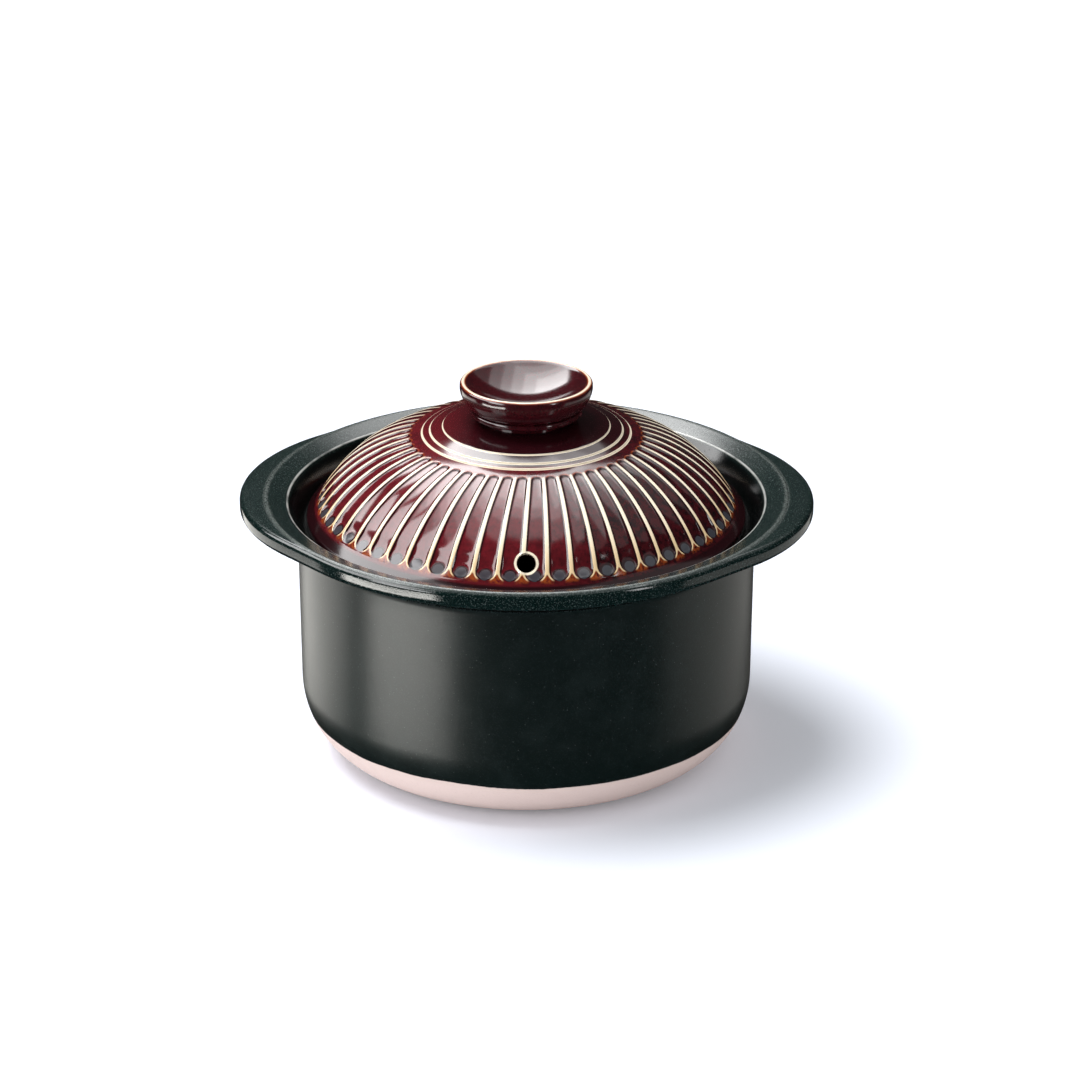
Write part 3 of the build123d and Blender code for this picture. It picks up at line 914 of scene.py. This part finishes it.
class POT_OT_carve_lid(Operator):
    """Turn the lid, carve its flutes, let the glaze pool in them and pierce the steam hole"""

    bl_idname = "clay_pot.carve_lid"
    bl_label = "Carve the lid"

    def execute(self, context):
        sizes = settings("lid")
        flutes = Flutes(sizes)
        section = Section(0, lid_high.z)
        self.draw_crown(section, sizes, flutes.crown)
        first_row = section.row
        self.draw_dome(section, flutes)
        last_row = section.row
        self.draw_underside(section, sizes, flutes.centre)
        section.turned(sizes.flutes * sizes.flute_columns)
        self.carve(section, flutes, first_row, last_row)
        lid = finished("fluted_lid", section, [glaze_lid()])
        self.pierce(lid, sizes, flutes)
        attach(lid, "lid")
        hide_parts("lid")
        return {"FINISHED"}

    def draw_crown(self, section, sizes, crown):
        """The flat under the knob, the small step and both terraces."""
        rounding = sizes.step_round
        terrace = crown.y + sizes.terrace_rise
        inner_radius = sizes.crown_radius - sizes.terrace_width
        terrace_top = terrace + sizes.terrace_slope
        inner_terrace = terrace_top + sizes.terrace_rise
        line_foot = inner_terrace + sizes.line_slope
        line_top = line_foot + sizes.line_rise
        before = 4 * rounding
        fall = (lid_high.z - line_top) * before / (sizes.line_radius - sizes.knob_radius)
        section.line(sizes.knob_radius, lid_high.z, steps=2)
        section.line(sizes.line_radius - before, line_top + fall, steps=4)
        corners = (
            ((sizes.line_radius, line_top), 0.8, 3),
            ((sizes.line_radius, line_foot), 0.5, 2),
            ((inner_radius, inner_terrace), 1, 3),
            ((inner_radius, terrace_top), 0.5, 2),
            ((crown.x, terrace), 1, 3),
        )
        following = [point for point, _, _ in corners[1:]] + [(crown.x, crown.y)]
        for (point, share, steps), after in zip(corners, following):
            section.corner(point, after, rounding * share, steps)
        section.line(crown.x, crown.y)

    def draw_dome(self, section, flutes):
        """The dome from crown to foot, before its flutes are carved."""
        spans = [(radians(end), rows) for end, rows in DOME_ROWS]
        spans.append((flutes.angle(flutes.foot.x), DOME_FOOT_ROWS))
        here = flutes.angle(flutes.crown.x)
        for end, rows in spans:
            section.arc(*flutes.centre, here - end, rows)
            here = end

    def draw_underside(self, section, sizes, centre):
        """The smooth band, the rim and the hollow side."""
        rim = (sizes.rim_radius, sizes.seat)
        hollow = sizes.dome_radius - sizes.thickness
        inner = (centre.x + sqrt(hollow**2 - (centre.y - sizes.seat) ** 2), sizes.seat)
        section.corner((sizes.rim_radius, sizes.seat + sizes.rim_height), rim, sizes.rim_round, steps=5)
        section.corner(rim, inner, sizes.rim_round, steps=5)
        section.line(*inner, steps=2)
        section.arc(*centre, asin((sizes.seat - centre.y) / hollow) - pi / 2, steps=9)
        section.line(0, centre.y + hollow, steps=2)

    def carve(self, section, flutes, first_row, last_row):
        """Sinks the flutes into the dome's rows, and leans the whole lid's columns along the ribs."""
        sizes, centre = flutes.sizes, flutes.centre
        pitch = 2 * pi / sizes.flutes
        for vertex in section.mesh.verts:
            row = vertex[section.layer]
            radius = vertex.co.xy.length
            if row < first_row:
                lean = flutes.lean(flutes.crown.x, flutes.angle(flutes.crown.x))
            elif row > last_row:
                lean = flutes.lean(flutes.foot.x, flutes.angle(flutes.foot.x))
            else:
                angle = flutes.angle(min(radius, flutes.foot.x))
                lean = flutes.lean(radius, angle)
            column = floor((atan2(vertex.co.y, vertex.co.x) + pi / 2) / pitch * sizes.flute_columns + 0.5)
            phase = column / sizes.flute_columns
            phase -= RIB_CROWDING * sin(2 * pi * phase)
            around = phase * pitch - pi / 2 + sizes.turned + lean
            if first_row <= row <= last_row:
                from_rib = 0.5 - abs(phase - floor(phase + 0.5))
                fade = min(1, (row - first_row) / FADE_ROWS, (last_row - row) / FADE_ROWS)
                reach = sizes.dome_radius - flutes.depth(radius, angle, from_rib * pitch * radius) * fade
                radius = centre.x + reach * cos(angle)
                vertex.co.z = centre.y + reach * sin(angle)
            vertex.co.xy = (radius * cos(around), radius * sin(around))

    def pierce(self, lid, sizes, flutes):
        """Cuts the steam hole square through the dome, with a slightly flared mouth."""
        radius, angle, height = flutes.hole()
        half = 2 * sizes.thickness
        section = Section(0, -half)
        section.line(sizes.hole_radius, -half)
        section.line(sizes.hole_radius, -1.6 * MM)
        section.bulge(sizes.hole_radius + sizes.hole_flare, -0.2 * MM, rise=0.12 * MM, steps=4)
        section.line(sizes.hole_radius + 4 * sizes.hole_flare, half)
        section.line(0, half)
        cutter = finished("steam_hole_cutter", section.turned(HOLE_COLUMNS), [])
        turn_out = Matrix.Translation((0, -radius, height)) @ Matrix.Rotation(pi / 2 - angle, 4, "X")
        cutter.data.transform(Matrix.Rotation(sizes.turned, 4, "Z") @ turn_out)
        cut = lid.modifiers.new("steam_hole", "BOOLEAN")
        cut.operation = "DIFFERENCE"
        cut.solver = "EXACT"
        cut.object = cutter
        bpy.context.view_layer.update()
        evaluated = lid.evaluated_get(bpy.context.evaluated_depsgraph_get())
        pierced = bpy.data.meshes.new_from_object(evaluated)
        lid.modifiers.clear()
        lid.data = pierced
        lid.data.name = lid.name
        shade(lid.data)
        bpy.data.objects.remove(cutter)


class POT_OT_turn_knob(Operator):
    """Turn the dished knob on its beaded foot"""

    bl_idname = "clay_pot.turn_knob"
    bl_label = "Turn the knob"

    def execute(self, context):
        sizes = settings("knob")
        bead_foot = (sizes.bead_radius, sizes.seat + sizes.foot_height)
        bead_top = (sizes.bead_radius, bead_foot[1] + sizes.bead_height)
        neck = (sizes.neck_radius, bead_top[1])
        rim_top = (sizes.rim_radius, sizes.seat + sizes.lip_height)
        bowl = (sizes.rim_radius - sizes.lip_width, rim_top[1] - sizes.lip_drop)
        bend = (bowl[0] ** 2 + sizes.bowl_depth**2) / (2 * sizes.bowl_depth)
        section = Section(0, sizes.seat)
        section.line(sizes.foot_radius, sizes.seat, steps=2)
        section.line(sizes.foot_radius, bead_foot[1], steps=3)
        section.corner(bead_foot, bead_top, sizes.bead_round, steps=8)
        section.corner(bead_top, neck, sizes.bead_round, steps=8)
        section.line(*neck)
        section.bulge(sizes.rim_radius, sizes.seat + sizes.rim_height, sizes.dish_bulge, steps=14)
        section.corner(rim_top, bowl, sizes.lip_round, steps=10)
        section.line(*bowl, steps=2)
        section.arc(0, bowl[1] - sizes.bowl_depth + bend, asin(bowl[0] / bend), steps=24)
        knob = finished("dished_knob", section.turned(sizes.columns), [glaze_knob()])
        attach(knob, "lid")
        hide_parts("lid_knob")
        return {"FINISHED"}


def softbox(name, place, aim, width, height, level, tint=WHITE):
    """A soft rectangular light that shows only in gloss, at a level of that many times white."""
    data = bpy.data.lights.new(name, "AREA")
    data.shape = "RECTANGLE"
    data.size = width
    data.size_y = height
    data.energy = level * width * height * pi
    data.color = tint
    lamp = added(name, data)
    lamp.location = place
    lamp.rotation_euler = (Vector(aim) - Vector(place)).to_track_quat("-Z", "Y").to_euler()
    lamp.visible_diffuse = False
    return lamp


class POT_OT_set_stage(Operator):
    """Set up the floor, the soft studio light and the camera"""

    bl_idname = "clay_pot.set_stage"
    bl_label = "Set the stage"

    def execute(self, context):
        levels = settings("studio")
        scene = context.scene
        self.lay_floor(levels)
        self.light_world(levels)
        self.light_pot(levels)
        camera_data = bpy.data.cameras.new("photo_camera")
        camera_data.lens = levels.lens
        camera_data.shift_x = levels.shift_x
        camera_data.shift_y = levels.shift_y
        camera = added("photo_camera", camera_data)
        aim = Vector((0, 0, levels.aim_height))
        back = Vector((0, -cos(levels.camera_height), sin(levels.camera_height)))
        back.rotate(Matrix.Rotation(levels.camera_turn, 3, "Z"))
        camera.location = aim + back * levels.camera_distance
        camera.rotation_euler = (-back).to_track_quat("-Z", "Y").to_euler()
        scene.camera = camera
        scene.view_settings.view_transform = "Standard"
        return {"FINISHED"}

    def lay_floor(self, levels):
        """A wide white floor that keeps the shadow."""
        mesh = bmesh.new()
        bmesh.ops.create_grid(mesh, x_segments=1, y_segments=1, size=levels.floor_size)
        data = bpy.data.meshes.new("floor")
        mesh.to_mesh(data)
        mesh.free()
        material = bpy.data.materials.new("floor")
        tree = Tree(material)
        values = {"Base Color": settings("colours").floor, "Roughness": 1, "Specular IOR Level": 0}
        values["Emission Color"] = (*WHITE, 1)
        values["Emission Strength"] = tree.seen_by("Is Camera Ray") * levels.floor_glow
        tree.surface("Principled BSDF", values)
        data.materials.append(material)
        ground = added("floor", data)
        ground.visible_glossy = False
        ground.visible_shadow = False

    def light_world(self, levels):
        """Even light from all round, white for the camera and dim in gloss."""
        world = bpy.data.worlds.new("studio")
        bpy.context.scene.world = world
        tree = Tree(world)
        seen = tree.seen_by("Is Camera Ray") * (1 - levels.fill)
        in_gloss = tree.seen_by("Is Glossy Ray") * (levels.dim - levels.fill)
        tree.surface("Background", {"Color": (*WHITE, 1), "Strength": seen + in_gloss + levels.fill})

    def light_pot(self, levels):
        """A soft key from the upper left, and softboxes for the gloss."""
        data = bpy.data.lights.new("key", "SUN")
        data.energy = levels.sun
        data.angle = levels.sun_angle
        key = added("key", data)
        key.rotation_euler = Vector(KEY_DIRECTION).to_track_quat("-Z", "Y").to_euler()
        key.visible_glossy = False
        for layer, (left, front, right, back, share) in enumerate(CEILING_LAYERS):
            place = ((left + right) / 2, (front + back) / 2)
            height = levels.ceiling_height + CEILING_STEP * layer
            size = (right - left, back - front)
            softbox(f"ceiling_box_{layer}", (*place, height), (*place, 0), *size, levels.ceiling * share)
        left_fill, *_ = [softbox(name, place, LIGHTS_AIM, *values) for name, place, *values in SOFTBOXES]
        left_fill.visible_diffuse = True
        left_fill.visible_glossy = False


class POT_PT_sidebar(Panel):
    """The pieces and the stage"""

    bl_idname = "POT_PT_sidebar"
    bl_label = "Clay Pot"
    bl_space_type = "VIEW_3D"
    bl_region_type = "UI"
    bl_category = "Clay Pot"

    def draw(self, context):
        for operator in OPERATORS:
            self.layout.operator(operator.bl_idname)
        for group in PotSettings.__annotations__:
            box = self.layout.box()
            box.label(text=group.capitalize())
            for key in settings(group).__annotations__:
                box.prop(settings(group), key)


class PotSettings(PropertyGroup):
    """Everything that the sidebar can change."""

    pot: PointerProperty(type=PotSizes)
    lid: PointerProperty(type=LidSizes)
    knob: PointerProperty(type=KnobSizes)
    colours: PointerProperty(type=GlazeColours)
    grains: PointerProperty(type=GlazeGrains)
    studio: PointerProperty(type=StudioLevels)


GROUPS = (PotSizes, LidSizes, KnobSizes, GlazeColours, GlazeGrains, StudioLevels, PotSettings)
OPERATORS = (POT_OT_set_stage, POT_OT_turn_pot, POT_OT_carve_lid, POT_OT_turn_knob)


def register():
    for item in (*GROUPS, *OPERATORS, POT_PT_sidebar):
        bpy.utils.register_class(item)
    bpy.types.Scene.clay_pot = PointerProperty(type=PotSettings)


def unregister():
    del bpy.types.Scene.clay_pot
    for item in reversed((*GROUPS, *OPERATORS, POT_PT_sidebar)):
        bpy.utils.unregister_class(item)


def main():
    """Builds the stage and the pieces in order."""
    register()
    bpy.ops.clay_pot.set_stage()
    bpy.ops.clay_pot.turn_pot()
    bpy.ops.clay_pot.carve_lid()
    bpy.ops.clay_pot.turn_knob()


if __name__ == "__main__":
    main()
